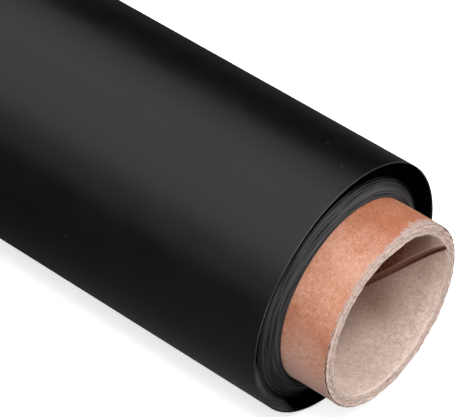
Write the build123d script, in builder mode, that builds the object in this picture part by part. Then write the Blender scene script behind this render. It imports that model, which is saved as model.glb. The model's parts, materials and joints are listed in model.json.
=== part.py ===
"""Backdrop paper roll: a seamless paper sheet wound on a spiral-wound paperboard core.

Frame: origin on the roll's axis at mid length, +X along the axis, +Z up, millimetres.
Angles round the axis are measured from +Y towards +Z.
"""

import os
from math import ceil, cos, degrees, radians, sin

from build123d import *

os.makedirs("parts", exist_ok=True)

# Core tube
bore_radius = 28.5            # 57 mm (2 1/4 in) bore, for a crossbar
core_length = 1387.0
inner_liner_thickness = 0.5
body_ply_thickness = 0.6
body_ply_count = 5
kraft_liner_thickness = 0.38
glue_line = 0.02              # room for the glue film between neighbouring plies

# Helical butt seams of the core's plies
ply_lead = 150.6              # axial advance of a strip in one turn
inner_seam_gap = 1.65         # the inner liner's edges stand open
body_seam_gap = 0.3
kraft_seam_gap = 0.3
inner_seam_angle = 22.0       # where each seam meets the core's +X end
first_body_seam_angle = 75.0
body_seam_stagger = 67.0
kraft_seam_angle = 285.0
cutter_overrun = 6.0          # how far a cutter runs past the end that it cuts
cutter_clearance = 0.1        # how far a seam cutter stands proud of both faces of a ply
cutter_turns = 0.5            # longest helical stretch that one cutter takes

# Paper sheet, wound on the core
sheet_width = 1350.0
sheet_thickness = 0.2
wind_pitch = 0.26             # radial growth of one turn: the sheet and its film of air
roll_radius = 44.5            # outside of the last full turn, half a turn in from its end

# Sideways shift of the turns along +X, which dishes the +X end and domes the other
shift_at_core = 0.65
ridge_radius = 35.4
shift_at_ridge = -0.3
valley_radius = 38.6
shift_at_valley = -2.3
shift_at_outside = -0.1

# Free end of the sheet, beyond the last full turn
tail_root_angle = 37.0
tail_arc = 115.0
tail_root_slit = 0.05         # slit between the last turn and the tail, along the arc

# Start tape, which holds the sheet's inner edge to the core
tape_width = 25.0
tape_thickness = 0.22
tape_angle = 200.0
tape_pocket_margin = 0.05

half_core = core_length / 2
half_sheet = sheet_width / 2


def around(radius, angle):
    """Point of the YZ plane at an angle round the axis."""
    return radius * cos(radians(angle)), radius * sin(radians(angle))


def arc_degrees(length, radius):
    """Angle that a length along an arc covers."""
    return degrees(length / radius)


def seam_cutters(inner_radius, outer_radius, gap, end_angle):
    """Helical bands, end to end, that open a ply's butt seam; end_angle is at the core's +X end."""
    run = core_length + 2 * cutter_overrun
    count = ceil(run / ply_lead / cutter_turns)
    middle_radius = (inner_radius + outer_radius) / 2
    cutters = []
    for number in range(count):
        start_x = -half_core - cutter_overrun + number * run / count
        start_angle = end_angle + (start_x - half_core) / ply_lead * 360
        drawn = Helix(ply_lead, run / count, middle_radius, center=(start_x, 0, 0), direction=(1, 0, 0))
        drawn_start = Vector(0, (drawn @ 0).Y, (drawn @ 0).Z)
        drawn_angle = Vector(0, 1, 0).get_signed_angle(drawn_start, Vector(1, 0, 0))
        path = drawn.rotate(Axis.X, start_angle - drawn_angle)
        start = path @ 0
        with BuildPart() as cutter:
            with BuildSketch(Plane(origin=start, x_dir=(0, start.Y, start.Z), z_dir=path % 0)):
                Rectangle(outer_radius - inner_radius + 2 * cutter_clearance, gap)
            sweep(path=path, is_frenet=True)
        cutters.append(cutter.part)
    return cutters


def make_ply(name, inner_radius, thickness, gap, end_angle):
    """Make one paperboard strip of the core, wound into a tube; returns the next ply's bore."""
    outer_radius = inner_radius + thickness
    cutters = seam_cutters(inner_radius, outer_radius, gap, end_angle)
    with BuildPart() as ply:
        with BuildSketch(Plane.YZ.offset(-half_core)):
            Circle(outer_radius)
            Circle(inner_radius, mode=Mode.SUBTRACT)
        extrude(amount=core_length)
        for cutter in cutters:
            add(cutter, mode=Mode.SUBTRACT)
    ply.part.label = name
    export_step(ply.part, f"parts/{name}.step")
    return outer_radius + glue_line


def sheet_section(radius, thickness, first_angle, arc, centre=(0, 0)):
    """Section of a sheet that follows an arc; radius is its outer face's."""
    with BuildSketch() as section:
        with BuildLine():
            CenterArc(centre, radius, first_angle, arc)
            CenterArc(centre, radius - thickness, first_angle, arc)
            for angle in (first_angle, first_angle + arc):
                inner_end = Vector(*centre) + Vector(*around(radius - thickness, angle))
                outer_end = Vector(*centre) + Vector(*around(radius, angle))
                Line(inner_end, outer_end)
        make_face()
    return section.sketch


# The core's plies, from the bore outwards
core_radius = make_ply("core_inner_liner", bore_radius, inner_liner_thickness, inner_seam_gap, inner_seam_angle)
for ply_number in range(body_ply_count):
    core_radius = make_ply(
        f"core_body_ply_{ply_number + 1}",
        core_radius,
        body_ply_thickness,
        body_seam_gap,
        first_body_seam_angle + ply_number * body_seam_stagger,
    )
core_radius = make_ply("core_kraft_liner", core_radius, kraft_liner_thickness, kraft_seam_gap, kraft_seam_angle)

# Start tape
tape_radius = core_radius + tape_thickness
tape_arc = arc_degrees(tape_width, core_radius)
with BuildPart() as start_tape:
    with BuildSketch(Plane.YZ.offset(-half_sheet + shift_at_core)):
        add(sheet_section(tape_radius, tape_thickness, tape_angle, tape_arc))
    extrude(amount=sheet_width)
start_tape.part.label = "paper_start_tape"
export_step(start_tape.part, "parts/paper_start_tape.step")

# Wound turns of the sheet, inside the last one
wound_radius = roll_radius - wind_pitch
end_profile = [
    (shift_at_core, core_radius),
    (shift_at_ridge, ridge_radius),
    (shift_at_valley, valley_radius),
    (shift_at_outside, wound_radius),
]
near_end = [(half_sheet + shift, radius) for shift, radius in end_profile]
far_end = [(-half_sheet + shift, radius) for shift, radius in reversed(end_profile)]
pocket_margin = arc_degrees(tape_pocket_margin, core_radius)
with BuildPart() as wound_paper:
    with BuildSketch(Plane.XY):
        with BuildLine():
            Polyline(*near_end, *far_end, close=True)
        make_face()
    revolve(axis=Axis.X)
    with BuildSketch(Plane.YZ.offset(-half_sheet - cutter_overrun)):
        add(
            sheet_section(
                tape_radius + tape_pocket_margin,
                tape_thickness + 2 * tape_pocket_margin,
                tape_angle - pocket_margin,
                tape_arc + 2 * pocket_margin,
            )
        )
    extrude(amount=sheet_width + 2 * cutter_overrun, mode=Mode.SUBTRACT)
wound_paper.part.label = "wound_paper"
export_step(wound_paper.part, "parts/wound_paper.step")

# Last full turn: two half turns whose centres are half a pitch apart, so that it climbs one pitch
climb = wind_pitch / 2
with BuildPart() as last_turn:
    with BuildSketch(Plane.YZ.offset(-half_sheet)):
        add(sheet_section(roll_radius, sheet_thickness, tail_root_angle + 180, 180))
        add(
            sheet_section(
                roll_radius + climb,
                sheet_thickness,
                tail_root_angle,
                180,
                centre=around(climb, tail_root_angle),
            )
        )
    extrude(amount=sheet_width)
last_turn.part.label = "paper_last_turn"
export_step(last_turn.part, "parts/paper_last_turn.step")

# Tail: the sheet's free end, which lies on the last turn and lifts about its root
tail_radius = roll_radius + wind_pitch
root_slit = arc_degrees(tail_root_slit, tail_radius)
with BuildPart() as tail:
    with BuildSketch(Plane.YZ.offset(-half_sheet)):
        add(
            sheet_section(
                tail_radius,
                sheet_thickness,
                tail_root_angle - tail_arc,
                tail_arc - root_slit,
            )
        )
    extrude(amount=sheet_width)
tail.part.label = "paper_tail"
export_step(tail.part, "parts/paper_tail.step")
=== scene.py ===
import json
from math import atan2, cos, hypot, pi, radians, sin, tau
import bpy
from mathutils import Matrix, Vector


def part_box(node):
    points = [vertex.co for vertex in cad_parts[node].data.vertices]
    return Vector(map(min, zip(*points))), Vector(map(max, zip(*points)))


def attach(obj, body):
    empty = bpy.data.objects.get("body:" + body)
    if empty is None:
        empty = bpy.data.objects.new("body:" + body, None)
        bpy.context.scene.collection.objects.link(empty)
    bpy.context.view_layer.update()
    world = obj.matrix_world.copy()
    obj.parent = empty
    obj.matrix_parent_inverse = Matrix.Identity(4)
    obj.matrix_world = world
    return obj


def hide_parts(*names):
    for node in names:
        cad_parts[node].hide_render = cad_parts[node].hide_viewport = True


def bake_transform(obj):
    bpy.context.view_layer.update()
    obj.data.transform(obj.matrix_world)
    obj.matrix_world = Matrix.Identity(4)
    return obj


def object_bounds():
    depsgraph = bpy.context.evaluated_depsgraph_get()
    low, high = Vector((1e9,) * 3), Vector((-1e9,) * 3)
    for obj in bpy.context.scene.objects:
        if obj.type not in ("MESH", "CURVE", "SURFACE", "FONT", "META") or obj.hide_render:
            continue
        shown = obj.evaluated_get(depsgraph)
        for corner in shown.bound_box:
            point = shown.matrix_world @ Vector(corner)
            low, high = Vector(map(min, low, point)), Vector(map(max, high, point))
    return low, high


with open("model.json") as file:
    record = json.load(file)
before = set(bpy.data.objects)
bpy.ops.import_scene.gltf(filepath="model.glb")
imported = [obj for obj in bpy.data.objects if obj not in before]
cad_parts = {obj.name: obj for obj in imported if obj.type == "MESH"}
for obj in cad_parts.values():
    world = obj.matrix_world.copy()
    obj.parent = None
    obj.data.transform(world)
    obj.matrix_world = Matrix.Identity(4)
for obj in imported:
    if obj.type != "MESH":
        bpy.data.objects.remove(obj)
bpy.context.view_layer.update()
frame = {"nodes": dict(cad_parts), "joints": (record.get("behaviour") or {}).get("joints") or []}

# Backdrop paper roll: black seamless paper wound on a spiral-wound paperboard core.
# Lengths are in metres. Angles round the roll's axis run from +Y towards +Z, in radians.
# The near end is the one at +X. Depth is the distance in from the core's or the sheet's end.

from types import SimpleNamespace

import bmesh
import bpy
import numpy as np
from mathutils import Matrix, Vector

MM = 0.001


# ---------------------------------------------------------------- sizes, most from the frame

def node_radii(node):
    """Smallest and largest distance of a CAD node's vertices from the roll's axis."""
    reach = [hypot(vertex.co.y, vertex.co.z) for vertex in frame["nodes"][node].data.vertices]
    return min(reach), max(reach)


BODY_PLIES = [f"core_body_ply_{number}" for number in range(1, 6)]
CORE_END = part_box("core_kraft_liner")[1][0]
SHEET_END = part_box("paper_last_turn")[1][0]
BORE_RADIUS = node_radii("core_inner_liner")[0]
CORE_RADIUS = node_radii("core_kraft_liner")[1]
TAPE_RADIUS = node_radii("paper_start_tape")[1]
SHEET = 0.2 * MM                # thickness of the paper
TURN_RADIUS = node_radii("paper_last_turn")[0] + SHEET
HINGE = next(joint for joint in frame["joints"] if joint["name"] == "tail_lift")
PIVOT = Vector(HINGE["pos_m"])
TAIL_RADIUS = hypot(PIVOT.y, PIVOT.z)
TAIL_ROOT = atan2(PIVOT.z, PIVOT.y)
TAIL_ARC = radians(115)                 # how far the tail reaches round the roll
PITCH = TAIL_RADIUS - TURN_RADIUS       # how far the paper climbs in one turn
PLY_LEAD = 150.6 * MM                   # axial advance of a core strip in one turn


# ---------------------------------------------------------------- camera, light and floor

CAMERA_AZIMUTH = radians(40.45)
CAMERA_ELEVATION = radians(43.84)
CAMERA_DISTANCE = 928.54 * MM
CAMERA_LENS = 229.43
CAMERA_SENSOR = 36
AIM_LEFT = 49.98 * MM           # the camera's aim, from the core's tip as the camera sees it
AIM_UP = 33.80 * MM
ROOM_LIGHT = (0.010, 0.010, 0.010)      # the walls as the roll sees them
WALL_COLOR = (0.90, 0.90, 0.90)         # the walls as the camera sees them
FLOOR_SIZE = 40.0
FLOOR_TONES = (0.90, 0.90, 0.90), (0.92, 0.92, 0.92)
FLOOR_GLOW = 0.62               # so that the camera sees the floor as white as a lit table
FLOOR_BOUNCE = (0.008, 0.008, 0.008)    # the floor's colour as the roll sees it
FLOOR_LIFT = (0.014, 0.16)      # the floor's glow as the roll sees it, which grows along +X
FLOOR_LIFT_SPAN = (0.52, 0.72)  # places along X between which it grows
# Name, place, aim, size and radiance of each area light
SOFTBOXES = (
    ("top_softbox", (-0.65, -0.4, 1.3), (-0.65, -0.4, 0), (2.3, 2.0), 1.10),
    ("top_edge_front", (-0.65, -1.8, 1.3), (-0.65, -1.8, 0), (2.3, 0.8), 0.64),
    ("top_edge_back", (-0.65, 1.0, 1.3), (-0.65, 1.0, 0), (2.3, 0.8), 0.72),
    ("front_wash", (-0.65, -2.3, 0.85), (-0.65, 0, 0.85), (2.3, 0.7), 0.45),
    ("near_softbox", (1.05, -0.35, 1.3), (1.05, -0.35, 0), (1.1, 3.4), 1.8),
    ("key", (1.34, -0.55, 1.355), (0.69, 0, 0), (0.4, 0.4), 21),
    ("side_card", (0.76, -0.75, 0.05), (0.69, 0, 0), (0.06, 0.2), 34),
    ("far_fill", (2.0, 1.3, 0.5), (0.69, 0, 0), (1.2, 0.9), 5.6),
)


def make_camera():
    """The camera of the photo, fitted to the rims of the roll and the core."""
    right = Vector((cos(CAMERA_AZIMUTH), sin(CAMERA_AZIMUTH), 0))
    back = Vector((
        sin(CAMERA_AZIMUTH) * cos(CAMERA_ELEVATION),
        -cos(CAMERA_AZIMUTH) * cos(CAMERA_ELEVATION),
        sin(CAMERA_ELEVATION),
    ))
    up = back.cross(right)
    aim = Vector((CORE_END, 0, 0)) - right * AIM_LEFT + up * AIM_UP
    data = bpy.data.cameras.new("camera")
    data.lens = CAMERA_LENS
    data.sensor_width = CAMERA_SENSOR
    camera = bpy.data.objects.new("camera", data)
    bpy.context.collection.objects.link(camera)
    turn = Matrix((right, up, back)).transposed()
    camera.matrix_world = Matrix.Translation(aim + back * CAMERA_DISTANCE) @ turn.to_4x4()
    bpy.context.scene.camera = camera


def make_softbox(name, place, aim, size, radiance):
    """A rectangular area light at a place, turned towards its aim."""
    data = bpy.data.lights.new(name, "AREA")
    data.shape = "RECTANGLE"
    data.size, data.size_y = size
    data.energy = radiance * pi * size[0] * size[1]
    light = bpy.data.objects.new(name, data)
    light.location = place
    light.rotation_euler = (Vector(aim) - Vector(place)).to_track_quat("-Z", "Y").to_euler()
    bpy.context.collection.objects.link(light)


def make_surroundings():
    """A dark room whose walls the camera sees as pale."""
    world = bpy.data.worlds.new("studio")
    bpy.context.scene.world = world
    world.use_nodes = True
    tree = world.node_tree
    tree.nodes.clear()
    room = tree.nodes.new("ShaderNodeBackground")
    wall = tree.nodes.new("ShaderNodeBackground")
    path = tree.nodes.new("ShaderNodeLightPath")
    mix = tree.nodes.new("ShaderNodeMixShader")
    out = tree.nodes.new("ShaderNodeOutputWorld")
    room.inputs["Color"].default_value = (*ROOM_LIGHT, 1)
    wall.inputs["Color"].default_value = (*WALL_COLOR, 1)
    tree.links.new(path.outputs["Is Camera Ray"], mix.inputs[0])
    tree.links.new(room.outputs[0], mix.inputs[1])
    tree.links.new(wall.outputs[0], mix.inputs[2])
    tree.links.new(mix.outputs[0], out.inputs[0])


make_camera()
make_surroundings()
for softbox in SOFTBOXES:
    make_softbox(*softbox)
bpy.context.scene.view_settings.view_transform = "Standard"


# ---------------------------------------------------------------- materials

LIT_EDGES = radians(207)        # outer turns' edges painted grey here: painted light
INNER_TILT = 0.06               # how far the inner turns' painted highlight leans with the light


def scaled(color, factor):
    """A colour times a number, no part of it over 1."""
    return tuple(min(1, factor * part) for part in color)


def tinted(color, tint):
    """A colour times another, part by part."""
    return tuple(part * share for part, share in zip(color, tint))


class Surface:
    """A principled material whose nodes are added one at a time."""

    def __init__(self, name):
        self.material = bpy.data.materials.new(name)
        self.material.use_nodes = True
        self.tree = self.material.node_tree
        self.shader = self.tree.nodes["Principled BSDF"]
        self.place = self.tree.nodes.new("ShaderNodeTexCoord").outputs["Object"]

    def link(self, source, target):
        self.tree.links.new(source, target)

    def attribute(self, name, output="Vector"):
        node = self.tree.nodes.new("ShaderNodeAttribute")
        node.attribute_name = name
        return node.outputs[output]

    def stretched(self, vector, scale):
        """A vector times a scale along each axis."""
        node = self.tree.nodes.new("ShaderNodeVectorMath")
        node.operation = "MULTIPLY"
        self.link(vector, node.inputs[0])
        node.inputs[1].default_value = scale
        return node.outputs[0]

    def split(self, vector, axis):
        node = self.tree.nodes.new("ShaderNodeSeparateXYZ")
        self.link(vector, node.inputs[0])
        return node.outputs[axis]

    def noise(self, vector, scale, detail=4.0, rough=0.55):
        node = self.tree.nodes.new("ShaderNodeTexNoise")
        self.link(vector, node.inputs["Vector"])
        node.inputs["Scale"].default_value = scale
        node.inputs["Detail"].default_value = detail
        node.inputs["Roughness"].default_value = rough
        return node.outputs["Fac"]

    def cells(self, vector, scale):
        node = self.tree.nodes.new("ShaderNodeTexVoronoi")
        self.link(vector, node.inputs["Vector"])
        node.inputs["Scale"].default_value = scale
        return node.outputs["Distance"]

    def remap(self, value, low, high, to_low=0.0, to_high=1.0):
        """A value moved from one range to another, and held to that range."""
        node = self.tree.nodes.new("ShaderNodeMapRange")
        self.link(value, node.inputs["Value"])
        node.inputs["From Min"].default_value = low
        node.inputs["From Max"].default_value = high
        node.inputs["To Min"].default_value = to_low
        node.inputs["To Max"].default_value = to_high
        return node.outputs["Result"]

    def math(self, operation, a, b):
        node = self.tree.nodes.new("ShaderNodeMath")
        node.operation = operation
        for value, socket in ((a, node.inputs[0]), (b, node.inputs[1])):
            if isinstance(value, (int, float)):
                socket.default_value = value
            else:
                self.link(value, socket)
        return node.outputs[0]

    def mix(self, amount, first, second, blend="MIX"):
        node = self.tree.nodes.new("ShaderNodeMix")
        node.data_type = "RGBA"
        node.blend_type = blend
        if isinstance(amount, (int, float)):
            node.inputs["Factor"].default_value = amount
        else:
            self.link(amount, node.inputs["Factor"])
        for value, socket in ((first, node.inputs[6]), (second, node.inputs[7])):
            if isinstance(value, tuple):
                socket.default_value = (*value, 1)
            else:
                self.link(value, socket)
        return node.outputs[2]

    def bump(self, height, distance, below=None):
        """Normals of a relief, distance deep, on top of the relief below."""
        node = self.tree.nodes.new("ShaderNodeBump")
        node.inputs["Distance"].default_value = distance
        self.link(height, node.inputs["Height"])
        if below is not None:
            self.link(below, node.inputs["Normal"])
        return node.outputs["Normal"]

    def finish(self, color, roughness, normal, specular=0.5):
        """Wires the colour, roughness and normals, and gives the material."""
        self.link(color, self.shader.inputs["Base Color"])
        self.link(roughness, self.shader.inputs["Roughness"])
        self.link(normal, self.shader.inputs["Normal"])
        self.shader.inputs["Specular IOR Level"].default_value = specular
        return self.material


def black_paper():
    """Smooth dyed paper with a fibre cloud and a few specks that are dents too.

    Its cut edges are painted lighter, partly as scuffing and partly as a painted highlight.
    """
    s = Surface("black_paper")
    cloud = s.noise(s.place, 90, 5)
    fibre = s.noise(s.stretched(s.place, (0.35, 1, 1)), 1900, 3)
    dark, light = (0.0009, 0.0009, 0.001), (0.0016, 0.0016, 0.0017)
    color = s.mix(s.remap(cloud, 0.35, 0.65), dark, light)
    color = s.mix(s.remap(fibre, 0.45, 0.8, 0, 0.5), color, (0.003, 0.003, 0.003))
    speck = s.remap(s.cells(s.place, 95), 0.025, 0.055, 1, 0)
    sparse = s.remap(s.noise(s.place, 31, 1), 0.55, 0.60)
    speck = s.math("MULTIPLY", speck, sparse)
    color = s.mix(s.math("MULTIPLY", speck, 0.35), color, (0.05, 0.05, 0.05))
    patchy = s.remap(s.noise(s.place, 700, 3), 0.3, 0.6, 0.35, 1)
    # Painted highlight, with some scuffing, along the sheet's cut edges
    edge_highlight_and_scuff = s.math("MULTIPLY", s.attribute("edge_highlight_and_scuff", "Fac"), patchy)
    color = s.mix(edge_highlight_and_scuff, color, (0.05, 0.05, 0.05))
    roughness = s.remap(cloud, 0.3, 0.7, 0.31, 0.35)
    ripple = s.noise(s.stretched(s.place, (0.25, 1, 1)), 26, 2)
    normal = s.bump(ripple, 0.12 * MM)
    normal = s.bump(fibre, 0.012 * MM, below=normal)
    normal = s.bump(s.math("MULTIPLY", speck, -1.0), 0.05 * MM, below=normal)
    return s.finish(color, roughness, normal)


def paper_edges():
    """The stacked cut edges of the turns, streaked round the roll.

    The inner turns are painted grey, as a painted highlight on their edges, reaching further out
    towards -Y and less far out below. The outer ones are painted grey near LIT_EDGES, as painted
    light.
    """
    s = Surface("paper_edges")
    ring = s.attribute("wrap")
    radius = s.split(ring, 2)
    streak = s.noise(s.stretched(ring, (0.0, 0.02, 1)), 2600, 2)
    band = s.noise(s.stretched(ring, (0.0, 0.03, 1)), 480, 2)
    side, height = s.split(s.place, 1), s.split(s.place, 2)
    # The inner turns' painted highlight, reaching further out towards -Y and less far below
    inner = s.math("ADD", radius, s.math("MULTIPLY", side, INNER_TILT))
    below = s.math("MULTIPLY", s.math("MINIMUM", height, 0.0), INNER_TILT)
    inner = s.remap(s.math("SUBTRACT", inner, below), 40.2 * MM, 37.4 * MM)
    plain = s.remap(streak, 0.35, 0.7)
    dull = s.mix(plain, (0.0004, 0.0004, 0.0004), (0.0018, 0.0018, 0.0018))
    grey = s.mix(s.remap(streak, 0.36, 0.66), (0.020, 0.020, 0.0204), (0.110, 0.110, 0.112))
    grey = s.mix(s.remap(band, 0.5, 0.75, 0, 0.7), grey, (0.135, 0.135, 0.137))
    # Painted light on the outer turns, round LIT_EDGES
    reach = s.math("MULTIPLY", side, cos(LIT_EDGES))
    reach = s.math("ADD", reach, s.math("MULTIPLY", height, sin(LIT_EDGES)))
    outer = s.remap(radius, 39.6 * MM, 41.2 * MM)
    lit_outer_turns = s.math("MULTIPLY", s.remap(reach, 38.0 * MM, 41.5 * MM), outer)
    dull = s.mix(lit_outer_turns, dull, s.mix(plain, (0.07, 0.07, 0.0715), (0.20, 0.20, 0.204)))
    color = s.mix(inner, dull, grey)
    roughness = s.remap(streak, 0.3, 0.7, 0.72, 0.85)
    normal = s.bump(streak, 0.05 * MM)
    return s.finish(color, roughness, normal, specular=0.0)


def fibre_board(name, dark, light, deep, stain, cut, shade, tooth, low=None):
    """Unbleached paper or board: mottled fibres along the strip, flecks and blotches of stain.

    Vertex attributes place the rest: "tone" draws the colour to deep, "cut" to the cut ends' and
    "shade" multiplies it by shade; in places these carry painted shade and shadow as well as
    stains. Where low is given, the colour fades to it underneath: painted light from below.
    Tooth is the fibres' height in millimetres.
    """
    s = Surface(name)
    wrap = s.attribute("wrap")
    grain = s.noise(s.stretched(wrap, (0.55, 1, 1)), 2300, 6, 0.8)
    mottle = s.noise(wrap, 620, 6, 0.75)
    cloud = s.noise(wrap, 110, 4)
    blotch = s.noise(s.place, 42, 4)
    tone = s.math("ADD", s.attribute("tone", "Fac"), s.remap(cloud, 0.3, 0.7, -0.25, 0.25))
    color = s.mix(s.remap(mottle, 0.38, 0.62), dark, light)
    deep_mottle = s.mix(s.remap(mottle, 0.36, 0.64), scaled(deep, 0.88), scaled(deep, 1.12))
    color = s.mix(s.remap(tone, 0.0, 1.0), color, deep_mottle)
    color = s.mix(s.remap(blotch, 0.54, 0.74, 0, 0.6), color, stain)
    if low is not None:
        # Painted light from below, on the underside
        underside_light = s.remap(s.split(s.place, 2), 10 * MM, -16 * MM, -0.2, 1.0)
        underside_light = s.math("ADD", underside_light, s.remap(mottle, 0.3, 0.7, -0.25, 0.25))
        color = s.mix(s.remap(underside_light, 0.0, 1.0, 0.0, 0.85), color, low)
    color = s.mix(s.remap(grain, 0.48, 0.72, 0, 0.55), color, scaled(light, 1.25))
    color = s.mix(s.remap(grain, 0.50, 0.28, 0, 0.6), color, scaled(dark, 0.62))
    fibres = s.mix(s.remap(grain, 0.34, 0.66), scaled(cut, 0.74), scaled(cut, 1.16))
    bare = s.math("ADD", s.attribute("cut", "Fac"), s.remap(mottle, 0.3, 0.7, -0.35, 0.35))
    color = s.mix(s.remap(bare, 0.25, 0.75), color, fibres)
    dirt = s.math("MULTIPLY", s.attribute("shade", "Fac"), s.remap(mottle, 0.3, 0.7, 0.6, 1.25))
    color = s.mix(s.remap(dirt, 0.0, 1.0), color, s.mix(1.0, color, shade, "MULTIPLY"))
    fleck = s.remap(s.cells(s.stretched(wrap, (0.45, 1, 1)), 460), 0.07, 0.15, 1, 0)
    fleck = s.math("MULTIPLY", fleck, s.remap(s.noise(wrap, 170, 1), 0.50, 0.58))
    color = s.mix(s.math("MULTIPLY", fleck, 0.5), color, scaled(dark, 0.35))
    roughness = s.remap(grain, 0.3, 0.7, 0.74, 0.9)
    normal = s.bump(grain, tooth * MM)
    normal = s.bump(mottle, 2 * tooth * MM, below=normal)
    return s.finish(color, roughness, normal, specular=0.3)


def masking_tape():
    """Creped paper tape."""
    s = Surface("masking_tape")
    crepe = s.noise(s.stretched(s.place, (0.15, 1, 1)), 1400, 3)
    color = s.mix(s.remap(crepe, 0.3, 0.7), (0.46, 0.35, 0.19), (0.66, 0.54, 0.33))
    return s.finish(color, s.remap(crepe, 0.3, 0.7, 0.6, 0.8), s.bump(crepe, 0.05 * MM))


def floor_paper():
    """Plain near-white studio floor, which the roll sees as nearly dark."""
    s = Surface("floor")
    tone = s.noise(s.place, 3, 2)
    color = s.mix(s.remap(tone, 0.3, 0.7), *FLOOR_TONES)
    seen = s.tree.nodes.new("ShaderNodeLightPath").outputs["Is Camera Ray"]
    color = s.mix(seen, FLOOR_BOUNCE, color)
    s.shader.inputs["Emission Color"].default_value = (1, 1, 1, 1)
    lift = s.remap(s.split(s.place, 0), *FLOOR_LIFT_SPAN, *FLOOR_LIFT)
    glow = s.math("MULTIPLY", seen, FLOOR_GLOW)
    hidden = s.math("MULTIPLY", s.math("SUBTRACT", 1.0, seen), lift)
    s.link(s.math("ADD", glow, hidden), s.shader.inputs["Emission Strength"])
    return s.finish(color, s.remap(tone, 0.3, 0.7, 0.8, 0.85), s.bump(tone, 0.02 * MM))


BLACK_PAPER = black_paper()
PAPER_EDGES = paper_edges()
KRAFT = fibre_board(
    "kraft_liner",
    dark=(0.53, 0.228, 0.124),
    light=(0.68, 0.36, 0.262),
    deep=(0.39, 0.122, 0.055),
    stain=(0.60, 0.37, 0.29),
    cut=(0.50, 0.375, 0.335),
    shade=(0.45, 0.30, 0.22),
    # painted light from below, on the kraft's underside
    low=(0.70, 0.47, 0.42),
    tooth=0.04,
)
LINER = fibre_board(
    "bore_liner",
    dark=(0.65, 0.475, 0.395),
    light=(0.95, 0.745, 0.65),
    deep=(0.57, 0.42, 0.35),
    stain=(0.54, 0.39, 0.31),
    cut=(0.82, 0.67, 0.59),
    # colour of the painted shadow above the seam and in the crevice, and of the stain
    shade=(0.29, 0.095, 0.045),
    tooth=0.05,
)
TAPE = masking_tape()


# ---------------------------------------------------------------- mesh helpers

def wobble(angle, seed, size, waves=(2, 3, 5, 7)):
    """A smooth random curve round the roll, about size high."""
    rng = np.random.default_rng(seed)
    total = np.zeros_like(angle)
    for count in waves:
        total += rng.normal() / count * np.sin(count * angle + rng.uniform(0, tau))
    return total * size * 1.6


def fade(distance, reach, start=1.0):
    """Start at no distance, falling straight by 1 with each reach, and held between 0 and 1."""
    return np.clip(start - distance / reach, 0, 1)


def bump_at(angle, centre, width):
    """1 at an angle, falling smoothly to 0 about width away."""
    away = (angle - centre + pi) % tau - pi
    return np.exp(-((away / width) ** 2))


def add_piece(name, vertices, faces, material, attributes, body="roll", sharp=35):
    """Makes a closed smooth mesh piece; attributes hold one value or vector for each vertex."""
    mesh = bpy.data.meshes.new(name)
    mesh.from_pydata(vertices.tolist(), [], faces.tolist())
    for key, values in attributes.items():
        kind = "FLOAT_VECTOR" if values.ndim == 2 else "FLOAT"
        layer = mesh.attributes.new(key, kind, "POINT")
        field = "vector" if values.ndim == 2 else "value"
        layer.data.foreach_set(field, values.astype(np.float32).ravel())
    work = bmesh.new()
    work.from_mesh(mesh)
    bmesh.ops.recalc_face_normals(work, faces=work.faces)
    work.to_mesh(mesh)
    work.free()
    mesh.shade_smooth()
    mesh.set_sharp_from_angle(angle=radians(sharp))
    mesh.materials.append(material)
    piece = bpy.data.objects.new(name, mesh)
    bpy.context.collection.objects.link(piece)
    if body:
        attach(piece, body)
    return piece


def loft_faces(columns, points, closed):
    """Quads between neighbouring columns of a profile, with end walls where the loft is open."""
    column = np.arange(columns if closed else columns - 1)[:, None]
    point = np.arange(points)[None, :]
    after, beyond = (column + 1) % columns, (point + 1) % points
    corners = (
        column * points + point,
        after * points + point,
        after * points + beyond,
        column * points + beyond,
    )
    quads = np.stack(corners, axis=-1).reshape(-1, 4)
    if closed:
        return quads
    low = np.arange(points // 2 - 1)
    wall = np.stack([low, low + 1, points - 2 - low, points - 1 - low], axis=-1)
    return np.concatenate([quads, wall, wall[:, ::-1] + (columns - 1) * points])


def shell_profile(inner, outer, stations, rounding):
    """Closed (x, r) profile of a thin tube: out along its bore, round the tip, and back outside."""
    tip = stations[-1]
    inset = [(tip - rounding, 0.0), (tip - 0.3 * rounding, 0.3 * rounding), (tip, rounding)]
    # Stations too near the tip would meet the inset's points
    along = [x for x in stations if abs(x) < tip - rounding * 1.01]
    half = [(-x, r) for x, r in reversed(inset)] + [(x, 0.0) for x in along] + inset
    bore = [(x, inner + r) for x, r in half]
    outside = [(x, outer - r) for x, r in reversed(half)]
    return np.array(bore + outside)


def tip_stations(tip, reach, fine, coarse):
    """Places along the axis: fine steps within reach of both tips and coarse ones between."""
    near = np.arange(0, reach, fine)
    count = max(2, int(round(2 * (tip - reach) / coarse)))
    middle = np.linspace(-tip + reach, tip - reach, count + 1)
    return np.concatenate([-tip + near, middle, (tip - near)[::-1]])


# ---------------------------------------------------------------- core

RIM_SEED = 11
RIM_ROUNDING = 0.14 * MM        # at most; thin plies have less
RIM_REACH = 2.5 * MM            # how far in the ends' unevenness goes
RIM_SETBACK = 0.15 * MM         # keeps the uneven ends within the CAD's length, on average
SEAM_END = radians(22)          # where the inner liner's seam meets the near rim
KRAFT_SEAM_END = radians(285)   # where the kraft's seam meets it
KRAFT_STUB = CORE_END - SHEET_END + 12 * MM     # length of kraft at each end with a true helix
GROOVE_WIDTH = 2.6 * MM         # how far the inner liner's seam stands open
GROOVE_REACH = 26 * MM          # how far in the ply behind the groove has fine columns
LIP_SHADOW_WIDTH = 1.35 * MM           # width of the painted shadow, a dark line, under the groove's lower lip
STAIN_ANGLE = radians(-49)      # middle of the bore's brown stain
STAIN_DEPTH = 20 * MM
DULL_ANGLE = radians(-102)      # where the bore is duller
NOTCH_ANGLE = radians(89)       # where the inner liner's end is ragged
BRUISES = ((radians(33), radians(5)), (radians(270), radians(4)))   # angles and widths, on the rim
LOOSE_ANGLE = radians(176)      # where the kraft has let go of the board
RUBBED_ANGLE = radians(55)      # where the kraft's end is rubbed bare
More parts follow.
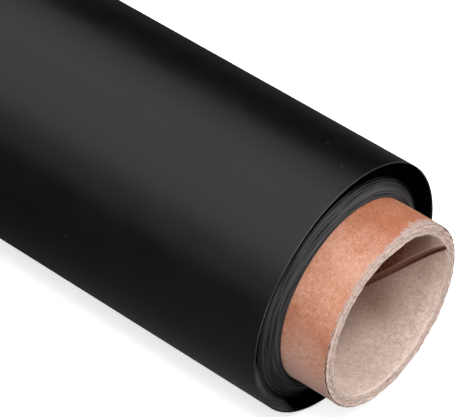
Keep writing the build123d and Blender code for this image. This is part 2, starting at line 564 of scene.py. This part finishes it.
WORN_ANGLE = radians(207)       # where its end is faded
RED_ANGLE = radians(68)         # where it is reddest
LESS_RED_ANGLE = radians(164)
# The body plies' colours; each ply has its own share of them
PLY_SHADES = (1.00, 0.88, 0.84, 0.95, 1.06)
BOARD_DARK = (0.46, 0.365, 0.315)
BOARD_LIGHT = (0.66, 0.545, 0.475)
BOARD_DEEP = (0.42, 0.33, 0.28)
BOARD_STAIN = (0.36, 0.25, 0.19)
BOARD_CUT = (0.81, 0.62, 0.54)
# colour of cracks and bruises, and of the painted shadow under the kraft
BOARD_SHADE = (0.42, 0.25, 0.18)
GROOVE_TINT = (0.80, 0.53, 0.43)        # the ply behind the groove is browner
# colour of the painted shadow under the groove's lower lip, and of this ply's cracks
GROOVE_SHADE = (0.16, 0.06, 0.03)
PLAIN_TINT = (1, 1, 1)


def ragged(angle, seed, size, low, high):
    """A rough random curve round the roll, about size high, with low to high waves in a turn."""
    rng = np.random.default_rng(seed)
    total = np.zeros_like(angle)
    for waves in rng.integers(low, high, 12):
        total += np.sin(waves * angle + rng.uniform(0, tau))
    return total * size / 2.4


def rim_offset(angle, side, seed, size):
    """How far a ply's cut end stands in or out round the rim.

    The saw's wander is the same for all plies; each ply's tears and fuzz are its own.
    """
    far = side < 0
    seed += 50 * far
    saw = wobble(angle, RIM_SEED + far, 0.12 * MM, (1, 2, 3))
    torn = ragged(angle, seed, size, 14, 60)
    fuzz = ragged(angle, seed + 7, 0.5 * size, 60, 165)
    return saw + torn + fuzz


def strip_shares(width, columns):
    """Shares of a strip's width, close together near its two edges."""
    near = np.array([0, 0.12, 0.3, 0.6, 1.0, 1.6, 2.4]) * MM / width
    middle = np.linspace(near[-1], 1 - near[-1], columns - 2 * len(near) + 2)[1:-1]
    return np.concatenate([near, middle, 1 - near[::-1]])


def straight(x):
    """Columns that run along the axis."""
    return 0 * x


def core_piece(
    name, node, seed, material, columns, stations, torn, warp, seam=None, gap=0.0, twist=straight
):
    """One ply of the core. A ply with a seam is an open strip whose edges follow the seam.

    Torn is the height of its ends' tears. Twist turns a closed ply's columns along the core.
    warp(place) may change place.x, place.r and the attributes; each holds a value for each vertex.
    """
    inner, outer = node_radii(node)
    profile = shell_profile(inner, outer, stations, min(RIM_ROUNDING, (outer - inner) * 0.3))
    x, r = profile[:, 0][None, :], profile[:, 1][None, :]
    closed = seam is None
    if closed:
        share = np.linspace(0, 1, columns, endpoint=False)[:, None] + 0 * x
        turn = share * tau + twist(x)
    else:
        slit = gap / inner
        share = strip_shares(inner * tau - gap, columns)[:, None] + 0 * x
        turn = seam(x) + slit / 2 + share * (tau - slit)
    width = inner * tau - gap
    x, r = x + 0 * turn, r + 0 * turn
    side = np.sign(x)
    depth = CORE_END - np.abs(x)
    reach = fade(depth, RIM_REACH)
    near_end, far_end = rim_offset(turn, 1, seed, torn), rim_offset(turn, -1, seed, torn)
    shift = np.where(side > 0, near_end, far_end) - RIM_SETBACK
    points = profile.shape[0]
    place = SimpleNamespace(
        x=x + side * reach * shift,
        r=r,
        turn=turn,
        depth=depth,
        side=side,
        above=share * width,            # distance from the seam's two lips, along the arc
        below=(1 - share) * width,
        outside=np.arange(points)[None, :] + 0 * share >= points // 2,
        cut=fade(depth, 0.5 * MM, 1.3),
        shade=0 * turn,
        tone=0 * turn + 0.4,
    )
    warp(place)
    pitch = np.arctan2(PLY_LEAD, tau * inner)
    around = inner * turn
    along_strip = around * np.cos(pitch) + x * np.sin(pitch)
    across_strip = x * np.cos(pitch) - around * np.sin(pitch)
    wrap = np.stack([along_strip, across_strip, r], -1)
    y, z = place.r * np.cos(turn), place.r * np.sin(turn)
    vertices = np.stack([place.x, y, z], -1).reshape(-1, 3)
    faces = loft_faces(columns, points, closed)
    attributes = {"wrap": wrap.reshape(-1, 3)}
    for key in ("cut", "shade", "tone"):
        attributes[key] = np.clip(getattr(place, key), 0, 1).reshape(-1)
    piece = add_piece(name, vertices, faces, material, attributes)
    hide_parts(node)
    return piece


def inner_seam(x):
    """Angle of the inner liner's seam along the core."""
    return SEAM_END + (x - CORE_END) / PLY_LEAD * tau


def groove_twist(x):
    """Turns the columns of the ply behind the groove, so that they follow it near both ends."""
    plain = CORE_END - GROOVE_REACH
    return (x - np.clip(x, -plain, plain)) / PLY_LEAD * tau


def make_core():
    core_piece(
        "bore_liner", "core_inner_liner", seed=3, material=LINER, columns=144,
        stations=tip_stations(CORE_END, reach=45 * MM, fine=1.3 * MM, coarse=5.5 * MM),
        torn=0.07 * MM, warp=liner_warp, seam=inner_seam, gap=GROOVE_WIDTH,
    )
    stations = tip_stations(CORE_END, reach=6 * MM, fine=0.6 * MM, coarse=460 * MM)
    groove_stations = tip_stations(CORE_END, GROOVE_REACH, fine=0.8 * MM, coarse=460 * MM)
    last = len(BODY_PLIES) - 1
    for number, (node, shade) in enumerate(zip(BODY_PLIES, PLY_SHADES)):
        grooved = number == 0
        tint = GROOVE_TINT if grooved else PLAIN_TINT
        board = fibre_board(
            f"grey_board_{number + 1}",
            dark=tinted(scaled(BOARD_DARK, shade), tint),
            light=tinted(scaled(BOARD_LIGHT, shade), tint),
            deep=tinted(tinted(scaled(BOARD_DEEP, shade), tint), tint),
            stain=BOARD_STAIN,
            cut=scaled(BOARD_CUT, shade),
            shade=GROOVE_SHADE if grooved else BOARD_SHADE,
            tooth=0.03,
        )
        piece = core_piece(
            f"body_ply_{number + 1}", node, seed=20 + number, material=board, columns=640,
            stations=groove_stations if grooved else stations, torn=0.10 * MM,
            warp={0: inner_board_warp, last: outer_board_warp}.get(number, board_warp),
            twist=groove_twist if grooved else straight,
        )


def liner_warp(place):
    """The seam's lower lip curls off the board, and the liner's end is ragged in one place.

    Above the seam the bore is painted dark brown, more so deeper in: a painted shadow of the near
    rim, and partly brown stain. Below the seam it is darkened less, fading downwards, and more
    deeper in, as painted shade.
    """
    near = place.side > 0
    tip = fade(place.depth, 3 * MM) * near
    curl = fade(place.below, 2.4 * MM) ** 2 * (1 + 0.5 * tip)
    # The upper lip is frayed, and painted lighter along it as a painted highlight
    fray_and_highlight = fade(place.above, 0.7 * MM, 1.2)
    notched = bump_at(place.turn, NOTCH_ANGLE, radians(11)) * tip
    rim = fade(place.depth, 0.9 * MM)
    place.r = place.r - curl * 0.34 * MM - fray_and_highlight * 0.05 * MM
    place.r = place.r - notched * 0.45 * MM * np.abs(np.sin(place.turn * 40))
    place.r = place.r + rim * ragged(place.turn, 71, 0.09 * MM, 20, 64)
    place.x = place.x + notched * 0.3 * MM - rim * place.side * 0.12 * MM
    deep = np.clip(place.depth / (22 * MM), 0, 1)
    inside = np.clip((place.depth - 4 * MM) / (16 * MM), 0, 1)
    # Painted shadow of the near rim above the seam, darker deeper in, and partly brown stain
    rim_shadow_and_stain = fade(place.above, 58 * MM, 1.3) * (0.15 + 0.85 * inside)
    # Darkened below the seam, fading downwards, and more deeper in, as painted shade
    darkened_below_seam = fade(place.below, 30 * MM) * (0.20 + 0.14 * deep)
    patch = bump_at(place.turn, STAIN_ANGLE, radians(13))
    patch = patch * np.exp(-(((place.depth - STAIN_DEPTH) / (8 * MM)) ** 2))
    # Painted shadow in the crevice under the curled lower lip
    crevice_shadow = fade(place.below, (0.50 + 0.35 * tip) * MM, 1.3)
    place.shade = np.maximum(rim_shadow_and_stain, darkened_below_seam + 0.34 * patch * near) - 0.5 * fray_and_highlight
    place.shade = np.maximum(place.shade, 1.2 * crevice_shadow)
    place.cut = np.maximum(place.cut, 0.7 * fray_and_highlight * (1 - 0.6 * deep)) * (1 - crevice_shadow)
    dull = bump_at(place.turn, DULL_ANGLE, radians(32))
    # Deeper in, the tone is painted darker, as painted shade; the patch is a brown stain
    place.tone = 0.05 + 0.15 * deep + 0.6 * patch + 0.45 * dull


def board_warp(place):
    """The near cut end is bruised in a few places, and both have dark cracks."""
    bruise = sum(bump_at(place.turn, angle, width) for angle, width in BRUISES)
    bruise = bruise * fade(place.depth, 2 * MM) * (place.side > 0)
    place.x = place.x - bruise * 0.45 * MM
    cracks = ragged(place.turn, 81, 0.22, 40, 160)
    place.shade = np.clip(0.25 * bruise + cracks - 0.15, 0, 0.4)


def inner_board_warp(place):
    """The ply behind the groove is painted darker inwards, as painted shade, and has a painted
    shadow under the lower lip, as a dark line.
    """
    board_warp(place)
    along = place.side * (CORE_END - place.depth)
    lip = inner_seam(along) - GROOVE_WIDTH / 2 / BORE_RADIUS
    from_lip = BORE_RADIUS * ((place.turn - lip + pi) % tau - pi)
    # Painted shadow along the groove's lower lip, as a dark line
    dark = np.clip((LIP_SHADOW_WIDTH - from_lip) / (0.6 * MM), 0, 1) * fade(place.depth, 32 * MM, 1.15)
    dark = dark * np.clip(place.depth / (0.3 * MM), 0, 1)
    place.shade = np.where(place.outside, place.shade, dark)
    # Painted shade, darker deeper in the bore
    place.tone = np.clip(place.depth / (24 * MM), 0, 0.9)


def outer_board_warp(place):
    """The ply under the kraft is painted dark, a painted shadow in the crack where the kraft has
    let go.
    """
    board_warp(place)
    # Painted shadow under the kraft's end
    crack_shadow = np.clip((place.depth - 0.35 * MM) / (0.3 * MM), 0, 1)
    place.shade = np.where(place.outside, np.maximum(place.shade, crack_shadow), place.shade)


def kraft_seam(x):
    """The kraft's seam is a true helix near both ends; between them it leaves out whole turns."""
    bare = CORE_END - KRAFT_STUB
    per_length = tau / PLY_LEAD
    helix = KRAFT_SEAM_END + (x - CORE_END) * per_length
    left_out = tau * np.round(2 * bare * per_length / tau)
    near = KRAFT_SEAM_END + (bare - CORE_END) * per_length
    far = KRAFT_SEAM_END + (-bare - CORE_END) * per_length + left_out
    between = far + (near - far) * np.clip((x + bare) / (2 * bare), 0, 1)
    return np.where(x > bare, helix, np.where(x < -bare, helix + left_out, between))


def kraft_warp(place):
    """The kraft has let go of the board along part of the near rim, and its ends are rubbed pale.

    It is redder on top and on the lower flank than between them.
    """
    loose = bump_at(place.turn, LOOSE_ANGLE, radians(34)) * (place.side > 0)
    lift = loose * fade(place.depth, 7 * MM) ** 2
    tip = fade(place.depth, 1.2 * MM)
    rough = np.clip(ragged(place.turn, 91, 0.06 * MM, 30, 150), -0.05 * MM, 0.2 * MM)
    place.r = place.r + tip * rough
    place.x = place.x - place.side * loose * tip * 0.55 * MM
    place.r = place.r + lift * 0.42 * MM
    rubbed = 0.75 + 0.4 * wobble(place.turn, 61, 1.0, (3, 7, 12))
    rubbed = (rubbed + ragged(place.turn, 63, 0.20, 15, 70)) * MM
    rubbed = rubbed + bump_at(place.turn, RUBBED_ANGLE, radians(26)) * 2.3 * MM
    place.cut = fade(place.depth, np.maximum(1.8 * rubbed, 0.2 * MM), 1.05) * (1 - 0.6 * loose)
    worn = bump_at(place.turn, WORN_ANGLE, radians(32)) * fade(place.depth, 10 * MM)
    place.cut = np.maximum(place.cut, 0.42 * worn)
    red = bump_at(place.turn, RED_ANGLE, radians(33))
    red = red + 0.65 * bump_at(place.turn, LESS_RED_ANGLE, radians(14))
    cloud = wobble(place.turn + place.depth * 9, 62, 1.0, (5, 8, 13))
    place.tone = 0.08 + red + 0.2 * cloud


def make_kraft():
    core_piece(
        "kraft_liner", "core_kraft_liner", seed=40, material=KRAFT, columns=480,
        stations=tip_stations(CORE_END, reach=22 * MM, fine=0.95 * MM, coarse=30 * MM),
        torn=0.08 * MM, warp=kraft_warp, seam=kraft_seam, gap=0.45 * MM,
    )


make_core()
make_kraft()
tape = frame["nodes"]["paper_start_tape"]
for number in range(len(tape.material_slots)):
    tape.material_slots[number].material = TAPE


# ---------------------------------------------------------------- paper

# Sideways shift of the turns along +X, by radius: it dishes the near end
SHIFT_RADII = np.array([32.5, 35.4, 38.6, 44.3]) * MM
SHIFTS = np.array([0.65, -0.3, -2.3, -0.1]) * MM
CLEARANCE = 0.05 * MM           # between neighbouring turns
TURN_GROOVE = 0.28 * MM         # depth of the groove between two turns' ends
TURN_ROUNDING = 0.035 * MM
TURN_COLUMNS = 256
FAN_ANGLE = radians(205)        # where the turns' ends stand apart most
FREE_EDGE_LIFT = 0.7 * MM       # how far the tail's free edge stands off the roll at rest


def paper_warp(angle, radius):
    """How much the wound paper is out of round; none at the core and most outside."""
    share = np.clip((radius - CORE_RADIUS) / (TURN_RADIUS - CORE_RADIUS), 0, 1)
    return share * (wobble(angle, 5, 0.16 * MM, (2, 3, 4, 6)) - 0.05 * MM)


def uneven_turns():
    """Radius, sideways shift, fan and swing of each turn under the last one."""
    first = TAPE_RADIUS + 0.04 * MM
    last = TURN_RADIUS - SHEET - 0.06 * MM
    count = int((last - first) / PITCH)
    pitch = (last - first) / count
    rng = np.random.default_rng(8)
    even, fan = 0.0, 0.0
    turns = []
    for number in range(count):
        even = 0.55 * even + rng.normal() * 0.055 * MM
        fan = 0.75 * fan + rng.normal() * 0.050 * MM
        turns.append((first + number * pitch, even, fan, rng.uniform(-0.5, 0.5)))
    return turns, pitch


def make_wound_paper():
    """The turns under the last one, each a separate ridge on both ends."""
    turns, pitch = uneven_turns()
    angle = np.linspace(0, tau, TURN_COLUMNS, endpoint=False)
    near, far = [], []
    for start, even, fan, swing in turns:
        stop = start + pitch - CLEARANCE
        shift = np.interp((start + stop) / 2, SHIFT_RADII, SHIFTS)
        out = shift + even + fan * (0.4 + np.cos(angle - FAN_ANGLE + swing))
        ridge = (
            (start, TURN_GROOVE),
            (start + TURN_ROUNDING, 0),
            (stop - TURN_ROUNDING, 0),
            (stop, TURN_GROOVE),
        )
        for radius, drop in ridge:
            near.append((out - drop, radius))
            far.append((out + drop, radius))
    rows = [(SHEET_END + out, radius) for out, radius in near]
    rows += [(-SHEET_END + out, radius) for out, radius in reversed(far)]
    x = np.stack([out + 0 * angle for out, _ in rows], axis=1)
    r = np.array([radius for _, radius in rows])[None, :] + 0 * x
    theta = angle[:, None] + 0 * x
    wrap = np.stack([x, theta * r, r], -1).reshape(-1, 3)
    r = r + paper_warp(theta, r)
    vertices = np.stack([x, r * np.cos(theta), r * np.sin(theta)], -1).reshape(-1, 3)
    faces = loft_faces(TURN_COLUMNS, len(rows), True)
    piece = add_piece("wound_turns", vertices, faces, PAPER_EDGES, {"wrap": wrap}, sharp=60)
    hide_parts("wound_paper")


def make_sheet(name, node, radius_at, start, arc, columns, body, lift_at=None):
    """A stretch of the outermost sheet; radius_at gives its outer face's radius at an angle."""
    reach = 3 * MM
    stations = tip_stations(SHEET_END, reach, fine=0.5 * MM, coarse=25 * MM)
    profile = shell_profile(-SHEET, 0.0, stations, rounding=0.06 * MM)
    share = np.linspace(0, 1, columns)[:, None]
    x = profile[:, 0][None, :] + 0 * share
    theta = start + arc * share + 0 * x
    base = radius_at(theta)
    r = base + profile[:, 1][None, :] + paper_warp(theta, base)
    edge = wobble(theta, 31, 0.12 * MM, (1, 2, 3)) + wobble(theta, 33, 0.03 * MM, (17, 29, 41))
    depth = SHEET_END - np.abs(x)
    new_x = x + np.sign(x) * edge * fade(depth, reach)
    if lift_at is not None:
        r = r + lift_at(theta, x)
    wrap = np.stack([x, theta * TURN_RADIUS, r], -1).reshape(-1, 3)
    # Painted highlight and scuffing within 0.35 mm of the sheet's ends
    edge_highlight_and_scuff = fade(depth, 0.35 * MM)
    vertices = np.stack([new_x, r * np.cos(theta), r * np.sin(theta)], -1).reshape(-1, 3)
    faces = loft_faces(columns, profile.shape[0], False)
    attributes = {"wrap": wrap, "edge_highlight_and_scuff": edge_highlight_and_scuff.reshape(-1)}
    piece = add_piece(name, vertices, faces, BLACK_PAPER, attributes, body=body)
    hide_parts(node)
    return piece


def last_turn_radius(theta):
    """The last turn climbs one pitch, from its inner end round to the tail's root."""
    return TURN_RADIUS + PITCH * (TAIL_ROOT + tau - theta) / tau


def free_edge(theta, x):
    """The tail's free edge stands a little off the roll, unevenly along its length."""
    along = np.clip((TAIL_ROOT - theta) / TAIL_ARC, 0, 1)
    uneven = 1 + 0.5 * np.sin(x * 9 + 1) + 0.25 * np.sin(x * 23)
    return along ** 4 * uneven * FREE_EDGE_LIFT


def make_paper():
    make_wound_paper()
    make_sheet(
        "last_turn", "paper_last_turn", last_turn_radius,
        start=TAIL_ROOT, arc=tau, columns=220, body="roll",
    )
    tail = make_sheet(
        "tail", "paper_tail", lambda theta: TAIL_RADIUS + 0 * theta,
        start=TAIL_ROOT - TAIL_ARC, arc=TAIL_ARC, columns=90, body=None, lift_at=free_edge,
    )
    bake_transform(tail)


make_paper()


# ---------------------------------------------------------------- floor

def make_floor():
    """A large flat floor at the roll's lowest line."""
    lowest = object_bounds()[0][2]
    half = FLOOR_SIZE / 2
    mesh = bpy.data.meshes.new("floor")
    square = ((-half, -half), (half, -half), (half, half), (-half, half))
    mesh.from_pydata([(x, y, lowest) for x, y in square], [], [(0, 1, 2, 3)])
    mesh.materials.append(floor_paper())
    floor = bpy.data.objects.new("floor", mesh)
    bpy.context.collection.objects.link(floor)


make_floor()
